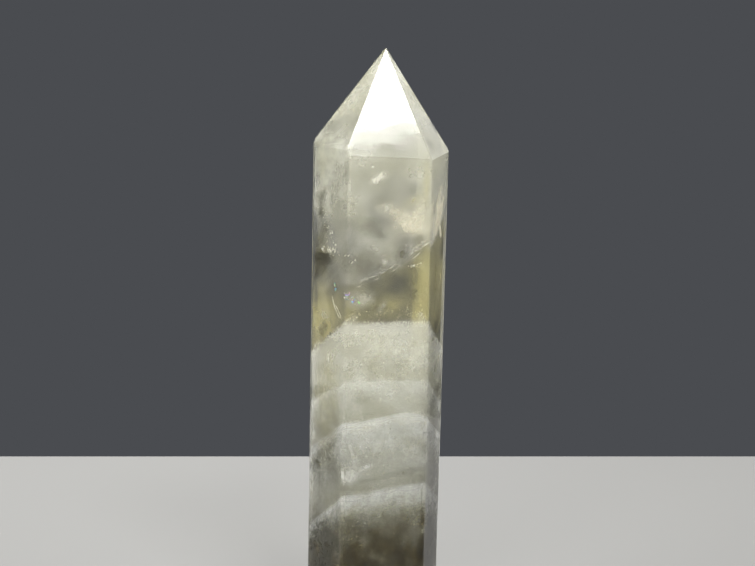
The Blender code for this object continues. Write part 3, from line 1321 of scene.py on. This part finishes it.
CLOUD_WISPS = (
    Patch((-6.9, -8.8, 42.0), (1.0, 0.0, 0.1), (0.0, -1.0, 0.1), (3.4, 2.7), 0.55, 0.15, 647),
    Patch((-3.2, -8.8, 43.6), (1.0, 0.0, 0.4), (0.0, -1.0, 0.1), (2.4, 1.0), 0.40, 0.15, 648),
    Patch((1.4, -8.4, 78.6), (1.0, 0.0, 0.3), (0.0, -1.0, 0.2), (5.4, 3.2), 0.25, 0.02, 649),
    Patch((-11.2, -3.9, 77.0), (0.5, 0.8, 0.6), (-0.8, -0.5, 0.1), (4.6, 3.2), 0.25, 0.02, 650),
    Patch((5.4, -8.4, 100.0), (1.0, 0.0, 0.5), (0.0, -1.0, 0.2), (3.0, 1.4), 0.35, 0.04, 651),
    Patch((-11.9, -2.6, 80.6), (0.5, -0.9, 0.9), (-0.8, -0.5, 0.1), (4.4, 1.6), 0.30, 0.06, 652),
    Patch((-5.2, -8.0, 79.6), (1.0, 0.0, 0.2), (0.1, -1.0, 0.2), (3.8, 2.9), 0.50, 0.27, 631),
    Patch((-0.8, -8.6, 77.8), (0.8, 0.0, 1.0), (0.1, -1.0, 0.2), (2.4, 0.8), 0.42, 0.25, 632),
    Patch((-0.2, -7.6, 87.2), (1.0, 0.0, -0.1), (0.1, -1.0, 0.2), (1.2, 1.0), 0.50, 0.21, 633),
    Patch((0.5, -6.0, 98.3), (1.0, 0.0, 0.6), (-0.2, -0.9, 0.3), (3.2, 1.3), 0.40, 0.23, 634),
    Patch((-2.0, -6.8, 89.6), (1.0, 0.0, -0.6), (-0.2, -0.9, 0.3), (3.4, 1.5), 0.35, 0.27, 635),
    Patch((-6.0, -6.0, 100.0), (0.5, 0.0, 1.0), (-0.3, -0.9, 0.2), (5.0, 2.6), 0.35, 0.29, 636),
    Patch((-11.6, -3.2, 99.5), (0.25, 0.3, -1.0), (-0.8, -0.5, 0.2), (4.2, 0.6), 0.60, 0.25, 637),
    Patch((-11.4, -3.0, 75.5), (0.3, 0.4, 1.0), (-0.8, -0.5, 0.2), (4.8, 2.2), 0.45, 0.35, 638),
    Patch((-2.0, -8.7, 68.4), (1.0, 0.0, 0.02), (0.0, -1.0, 0.1), (3.6, 1.0), 0.45, 0.15, 639),
    Patch((3.5, -8.7, 70.0), (1.0, 0.0, 0.0), (0.0, -1.0, 0.1), (5.0, 3.0), 0.40, 0.20, 640),
    Patch((-4.6, -8.6, 48.0), (0.6, 0.0, -1.0), (0.0, -1.0, 0.2), (3.6, 0.45), 0.60, 0.18, 641),
    Patch((-6.4, -8.5, 47.0), (0.25, 0.0, -1.0), (0.0, -1.0, 0.2), (3.8, 0.9), 0.55, 0.18, 642),
    Patch((6.0, -8.7, 54.2), (1.0, 0.0, 0.1), (0.0, -1.0, 0.2), (6.0, 2.0), 0.72, 0.12, 643),
    Patch((-3.4, -8.7, 52.6), (1.0, 0.0, 0.08), (0.0, -1.0, 0.2), (6.0, 1.9), 0.68, 0.12, 644),
    Patch((-10.9, -4.4, 66.0), (0.6, 0.7, 1.0), (-0.8, -0.5, 0.2), (3.2, 0.7), 0.60, 0.21, 645),
    Patch((-12.7, -2.3, 88.6), (0.1, -0.2, 1.0), (-0.8, -0.5, 0.0), (6.5, 4.0), 0.22, 0.0, 657),
    Patch((-11.6, -4.4, 56.0), (0.0, 0.0, 1.0), (-0.8, -0.5, 0.0), (18.0, 5.0), 0.20, 0.0, 666, 0.0, 3.0),
    Patch((7.7, -8.9, 103.4), (0.0, 0.0, 1.0), (0.0, -1.0, 0.0), (6.6, 0.9), 0.36, 0.0, 662, 0.0, 3.0),
)


@dataclass(frozen=True)
class Swarm:
    """A loose cluster of tiny flakes between two places.

    spread is how far they stray from that line, size their radius, both in mm; tints is the
    range of colour lean.
    """

    name: str
    seed: int
    start: Point
    end: Point
    count: int
    spread: Point
    size: tuple[float, float]
    tints: tuple[float, float] = (0.0, 0.3)


@dataclass
class Flakes:
    """Tiny flakes and bubbles that glint: each a ragged, flat, seven-sided plate.

    A flake's corner at angle a lies at centre + s (1 + 0.45 sin(2a + p)) (cos a x + k sin a y),
    with x and y at right angles and each flake's own, s its size and k its slimness.
    """

    stone: StoneBody
    sides: int = 7

    def build(
        self, swarms: tuple[Swarm, ...], name: str, material: bpy.types.Material
    ) -> bpy.types.Object:
        """Make one piece of all the flakes of some swarms.

        Args:
            swarms: where they lie, and how many.
            name: the piece's name.
            material: their finish.

        Returns:
            The piece.
        """
        surface = Surface()
        for swarm in swarms:
            draw = np.random.default_rng(swarm.seed)
            share = draw.uniform(0.0, 1.0, (swarm.count, 1))
            middle = np.array(swarm.start) * (1.0 - share) + np.array(swarm.end) * share
            middle = middle + draw.normal(size=middle.shape) * np.array(swarm.spread)
            middle = self.stone.place(middle[:, 0], middle[:, 1], middle[:, 2])
            middle = self.stone.keep_inside(middle, 0.7)
            x = draw.normal(size=middle.shape) + 0.4 * self.stone.across
            x /= np.linalg.norm(x, axis=1, keepdims=True)
            y = np.cross(draw.normal(size=middle.shape) * 0.6 + self.stone.inward, x)
            y /= np.linalg.norm(y, axis=1, keepdims=True)
            least, most = swarm.size
            size = least * (most / least) ** draw.uniform(0.0, 1.0, swarm.count)
            slim = draw.uniform(0.12, 0.6, swarm.count)
            turn = np.arange(self.sides) * 2.0 * math.pi / self.sides
            phase = draw.uniform(0.0, 2.0 * math.pi, swarm.count)
            out = size[:, None] * (1.0 + 0.45 * np.sin(2.0 * turn[None, :] + phase[:, None]))
            along = (out * np.cos(turn))[:, :, None] * x[:, None, :]
            beside = (out * np.sin(turn) * slim[:, None])[:, :, None] * y[:, None, :]
            rim = middle[:, None, :] + along + beside
            points = np.concatenate([middle[:, None, :], rim], axis=1).reshape(-1, 3)
            points = self.stone.keep_inside(points, 0.3)
            ring = np.arange(self.sides)
            fan = np.stack([np.zeros_like(ring), ring + 1, (ring + 1) % self.sides + 1], axis=1)
            faces = (np.arange(swarm.count)[:, None, None] * (self.sides + 1) + fan).reshape(-1, 3)
            tint = np.repeat(draw.uniform(*swarm.tints, swarm.count), self.sides + 1)
            surface.add(points, faces, np.ones(len(points)), tint)
            LOG.info("%s, %s: %d flakes", name, swarm.name, swarm.count)
        return surface.build(name, material, MILKY_SLOT)


def tube(path: Array, radius: Array | float, sides: int = THREAD_SIDES) -> tuple[Array, Array]:
    """A closed-section thread along a path.

    Ring i is path_i + r (cos a n + sin a b), with n and b at right angles to the path there. Its
    ends shrink to a point's width.

    Args:
        path: N by 3 points.
        radius: one radius, or one for each point.
        sides: corners of the section.

    Returns:
        Points, N x sides of them, and quads.
    """
    ahead = np.gradient(path, axis=0)
    ahead /= np.linalg.norm(ahead, axis=1, keepdims=True)
    normal = np.cross(ahead, np.array([0.31, 0.95, 0.05]))
    normal /= np.linalg.norm(normal, axis=1, keepdims=True)
    binormal = np.cross(ahead, normal)
    turn = np.arange(sides) * 2.0 * math.pi / sides
    taper = np.minimum(1.0, 0.02 + 6.0 * np.sin(np.linspace(0.0, math.pi, len(path))))
    thick = (np.broadcast_to(radius, len(path)) * taper)[:, None, None]
    beside = np.cos(turn)[None, :, None] * normal[:, None, :]
    above = np.sin(turn)[None, :, None] * binormal[:, None, :]
    points = (path[:, None, :] + thick * (beside + above)).reshape(-1, 3)
    row = np.arange(len(path) - 1)[:, None] * sides
    here = np.arange(sides)[None, :]
    after = (here + 1) % sides
    quads = np.stack([row + here, row + after, row + sides + after, row + sides + here], axis=2)
    return points, quads.reshape(-1, 4)


@dataclass
class Frost:
    """A fringe of hair-short fibres that stands on the first old crystal face, near the skin."""

    stone: StoneBody
    growth: Growth
    count: int = 1500
    length: tuple[float, float] = (0.2, 0.8)
    radius: float = 0.030

    def build(self) -> bpy.types.Object:
        """Every fibre, as one piece: each leans its own way.

        Returns:
            The piece.
        """
        draw = np.random.default_rng(811)
        sides = np.flatnonzero(np.abs(self.stone.normals[:, 2]) < 0.1)
        surface = Surface()
        for _ in range(self.count):
            side = draw.choice(sides)
            normal = self.stone.normals[side]
            beside = np.cross(self.stone.upward, normal)
            root = self.stone.centres[side] + beside * draw.uniform(-7.5, 7.5)
            root = root - normal * draw.uniform(0.4, 2.2)
            own = self.stone.own(root[None, :])
            root = root + self.stone.upward * (self.growth.top(0, own) - self.growth.level(own))
            root = self.stone.keep_inside(root[None, :], 0.35)[0]
            lean = draw.normal(size=3) * 0.5
            way = self.stone.upward + lean
            way /= np.linalg.norm(way)
            run = np.linspace(-0.3, 1.0, 5)[:, None] * way * draw.uniform(*self.length)
            points, quads = tube(self.stone.keep_inside(root + run, 0.3), self.radius, 4)
            surface.add(points, quads, np.full(len(points), 0.42), 0.1)
        return surface.build("frost_fringe", Crack("frost").build(), MILKY_SLOT)


@dataclass
class Needles:
    """Two hair-fine white crystals above the first phantom, just left of the front side."""

    stone: StoneBody
    radius: float = 0.05
    ends: tuple[tuple[Point, Point, float], ...] = (
        ((-10.5, -5.6, 79.7), (-9.1, -7.8, 75.3), -0.35),
        ((-9.9, -6.4, 78.0), (-8.9, -8.2, 75.4), 0.2),
    )

    def build(self) -> bpy.types.Object:
        """Every needle, as one piece: a straight run with a slight bow.

        Returns:
            The piece.
        """
        surface = Surface()
        for start, end, bow in self.ends:
            part = np.linspace(0.0, 1.0, 14)
            run = np.array(start) * (1.0 - part[:, None]) + np.array(end) * part[:, None]
            run[:, 0] += bow * np.sin(part * math.pi)
            path = self.stone.place(run[:, 0], run[:, 1], run[:, 2])
            points, quads = tube(path, self.radius)
            surface.add(points, quads, np.full(len(points), 0.9), 0.1)
        return surface.build("needles", Crack("white_needle").build(), MILKY_SLOT)


# ---------------------------------------------------------------------------
# Studio
# ---------------------------------------------------------------------------


@dataclass(frozen=True)
class Softbox:
    """A soft lamp: where it hangs, what it looks at, its size and how bright its face is."""

    name: str
    place: Point
    aim: Point
    size: tuple[float, float]
    radiance: float

    def build(self) -> None:
        """An area lamp of that radiance, which is its power over pi times its area."""
        lamp = bpy.data.lights.new(self.name, "AREA")
        lamp.shape = "RECTANGLE"
        lamp.size, lamp.size_y = self.size
        lamp.energy = self.radiance * math.pi * self.size[0] * self.size[1]
        holder = bpy.data.objects.new(self.name, lamp)
        holder.location = self.place
        heading = Vector(self.aim) - Vector(self.place)
        holder.rotation_euler = heading.to_track_quat("-Z", "Y").to_euler()
        holder.visible_camera = False
        bpy.context.scene.collection.objects.link(holder)


@dataclass(frozen=True)
class Viewpoint:
    """A camera straight in front and a little above, turned neither left nor right."""

    focal_mm: float = 68.18543
    frame_mm: float = 36.0
    above: float = math.radians(12.04)          # how far above level it stands
    away: float = 0.3005                        # metres to the point that it looks at
    aim: Point = (0.00163, 0.0, 0.081)

    def build(self) -> None:
        """The scene's camera."""
        lens = bpy.data.cameras.new("camera")
        lens.sensor_width = self.frame_mm
        lens.lens = self.focal_mm
        lens.clip_start = 0.01
        camera = bpy.data.objects.new("camera", lens)
        back = self.away * math.cos(self.above)
        up = self.away * math.sin(self.above)
        camera.location = (self.aim[0], self.aim[1] - back, self.aim[2] + up)
        camera.rotation_euler = (math.radians(90.0) - self.above, 0.0, 0.0)
        bpy.context.scene.collection.objects.link(camera)
        bpy.context.scene.camera = camera


@dataclass
class Studio:
    """Pale floor, grey room, soft lamps and the camera."""

    room: str = "#4A4C50"
    floor_colour: str = "#9C9B98"
    floor_size: tuple[float, float] = (2.4, 1.0)    # metres
    floor_beyond: float = 0.125                     # how much of its depth lies behind the stone
    floor_drop: float = 0.0002                      # so that it doesn't touch the stone's base
    softboxes: tuple[Softbox, ...] = (
        Softbox("key", (0.1555, -0.3148, 0.4795), (0.003, 0.0, 0.12), (0.18, 0.088), 22.0),
        Softbox("key_fade", (0.171, -0.3468, 0.4443), (0.003, 0.0, 0.12), (0.18, 0.012), 8.0),
        Softbox("key_skirt", (0.168, -0.347, 0.430), (0.003, 0.0, 0.12), (0.18, 0.018), 2.5),
        Softbox("top_back", (-0.10, 0.34, 0.52), (0.0, 0.0, 0.06), (0.5, 0.3), 9.0),
        Softbox("front_low", (-0.25, -0.70, 0.19), (0.0, 0.0, 0.07), (0.5, 0.3), 6.7),
        Softbox("left", (-0.52, -0.10, 0.36), (0.0, 0.0, 0.07), (0.4, 0.3), 3.0),
        Softbox("right", (0.50, -0.12, 0.30), (0.0, 0.0, 0.09), (0.2, 0.2), 4.6),
        Softbox("right_back", (0.45, 0.45, 0.22), (0.0, 0.0, 0.08), (0.3, 0.3), 0.9),
    )

    def build(self) -> None:
        """Everything round the stone that isn't part of it."""
        self._room()
        self._floor()
        for softbox in self.softboxes:
            softbox.build()
        Viewpoint().build()

    def _room(self) -> None:
        """An even grey all round."""
        world = bpy.data.worlds.new("room")
        world.use_nodes = True
        world.node_tree.nodes["Background"].inputs["Color"].default_value = linear(self.room)
        bpy.context.scene.world = world
        bpy.context.scene.view_settings.view_transform = "Standard"
        cycles = bpy.context.scene.cycles
        cycles.transparent_max_bounces = 96
        cycles.max_bounces = 10
        cycles.transmission_bounces = 8
        cycles.diffuse_bounces = 2
        cycles.glossy_bounces = 5

    def _floor(self) -> None:
        """A pale matt table top."""
        bpy.ops.mesh.primitive_plane_add(size=1.0)
        floor = bpy.context.active_object
        floor.name = "floor"
        wide, deep = self.floor_size
        floor.data.transform(Matrix.Diagonal((wide, deep, 1.0, 1.0)))
        back = self.floor_beyond - deep / 2.0
        floor.data.transform(Matrix.Translation((0.0, back, -self.floor_drop)))
        material = empty_material("matt_table")
        shader = add_node(
            material,
            "ShaderNodeBsdfPrincipled",
            inputs={"Base Color": linear(self.floor_colour), "Roughness": 0.7},
        )
        add_node(material, "ShaderNodeOutputMaterial", inputs={"Surface": shader.outputs[0]})
        floor.data.materials.append(material)


WHITE_SWARMS = (
    Swarm(
        "left_crack_top", 501, (-13.0, -2.4, 94.6), (-10.9, -5.0, 92.4),
        16, (0.4, 0.4, 0.4), (0.06, 0.34),
    ),
    Swarm("left_crack", 502, (-10.9, -5.0, 92.4), (-9.4, -7.0, 88.4), 22, (0.3, 0.3, 0.7), (0.06, 0.32)),
    Swarm(
        "left_crack_low", 503, (-12.6, -2.4, 89.4), (-10.2, -6.2, 89.0),
        26, (0.2, 0.2, 0.35), (0.10, 0.55),
    ),
    Swarm(
        "left_shards", 515, (-12.8, -1.7, 88.9), (-11.0, -4.9, 88.3),
        16, (0.1, 0.1, 0.35), (0.25, 0.75),
    ),
    Swarm(
        "left_crack_mottle", 514, (-13.0, -2.0, 97.0), (-11.0, -5.0, 91.0),
        40, (0.5, 0.7, 1.4), (0.05, 0.28),
    ),
    Swarm(
        "beside_front_edge", 504, (-8.0, -8.0, 88.4), (-6.8, -8.6, 87.4),
        9, (0.4, 0.3, 0.4), (0.08, 0.26),
    ),
    Swarm(
        "above_phantom", 505, (-7.0, -8.6, 76.6), (8.5, -8.6, 76.3),
        150, (0.6, 0.5, 0.7), (0.04, 0.14),
    ),
    Swarm("under_veil", 506, (4.2, -8.6, 86.0), (7.0, -8.6, 86.9), 18, (0.3, 0.2, 0.2), (0.10, 0.42)),
    Swarm("strewn_high", 507, (-6.0, -3.0, 82.0), (6.0, 3.0, 106.0), 70, (4.5, 4.5, 6.0), (0.05, 0.16)),
    Swarm("strewn_low", 508, (-6.0, -7.0, 40.0), (6.0, -7.0, 74.0), 70, (4.5, 1.5, 5.0), (0.06, 0.18)),
    Swarm("dust_third", 510, (-8.0, -8.9, 53.5), (9.0, -8.9, 55.0), 60, (0.6, 0.4, 1.0), (0.03, 0.10)),
    Swarm("dust_white", 511, (-8.0, -8.9, 36.5), (9.0, -8.9, 37.5), 90, (0.6, 0.4, 1.5), (0.03, 0.11)),
    Swarm("dust_root", 512, (-8.0, -8.9, 30.0), (9.0, -8.9, 30.5), 60, (0.6, 0.5, 3.0), (0.03, 0.12)),
    Swarm("dust_right", 513, (10.4, -6.5, 52.0), (12.0, -3.4, 44.0), 40, (0.5, 0.5, 3.0), (0.03, 0.11)),
    Swarm("chips", 509, (-8.2, -8.4, 42.0), (-4.2, -8.4, 42.6), 12, (0.5, 0.2, 0.7), (0.08, 0.22)),
)
RAINBOW_SWARMS = (
    Swarm(
        "fleck_column", 521, (-10.5, -6.2, 82.4), (-10.4, -6.4, 80.8),
        12, (0.15, 0.15, 0.3), (0.14, 0.34), (0.0, 1.0),
    ),
    Swarm(
        "fleck_fan", 522, (-8.0, -8.6, 80.6), (-6.2, -8.9, 79.4),
        20, (0.4, 0.15, 0.4), (0.12, 0.32), (0.0, 1.0),
    ),
)


def main() -> None:
    """Dress the stone, grow what is inside it, and set up the studio."""
    logging.basicConfig(level=logging.INFO)
    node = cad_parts[STONE]
    stone = StoneBody(node)
    LOG.info("facets: %d, up %s, inward %s", len(stone.offsets), stone.upward, stone.inward)
    clear = ClearQuartz().build()
    for holder in node.material_slots:
        holder.material = clear
    growth = Growth()
    CloudBody(stone, growth).build()
    SkinCloud(stone, growth).build()
    PhantomFilms(stone, growth).build()
    Frost(stone, growth).build()
    SmokySectors(stone).build()
    GreatVeil(stone).build()
    # Dark smoke patches: partly smoky quartz, partly painted shade.
    smoke_and_shade = Dust("smoky_quartz_and_shade", SMOKE_AND_SHADE_TONES, grain_mm=1.3, uneven=(0.6, 1.2), glow=0.3)
    Wisps(stone).build(SMOKE_AND_SHADE_WISPS, "smoke_and_shade_wisps", smoke_and_shade)
    sunlit = Dust("sunlit_crack", CREAM_TONES, grain_mm=1.4, uneven=(0.7, 1.25))
    Wisps(stone).build(WARM_WISPS, "warm_wisps", sunlit)
    cloud = Dust("thin_cloud", CLOUD_TONES, grain_mm=1.3, uneven=(0.7, 1.2))
    Wisps(stone).build(CLOUD_WISPS, "cloud_wisps", cloud)
    Glints(stone).build()
    Needles(stone).build()
    Flakes(stone).build(WHITE_SWARMS, "white_flakes", Crack("bright_flake", glow=0.65).build())
    Flakes(stone).build(RAINBOW_SWARMS, "rainbow_flakes", Rainbow().build())
    Studio().build()


if __name__ == "__main__":
    main()
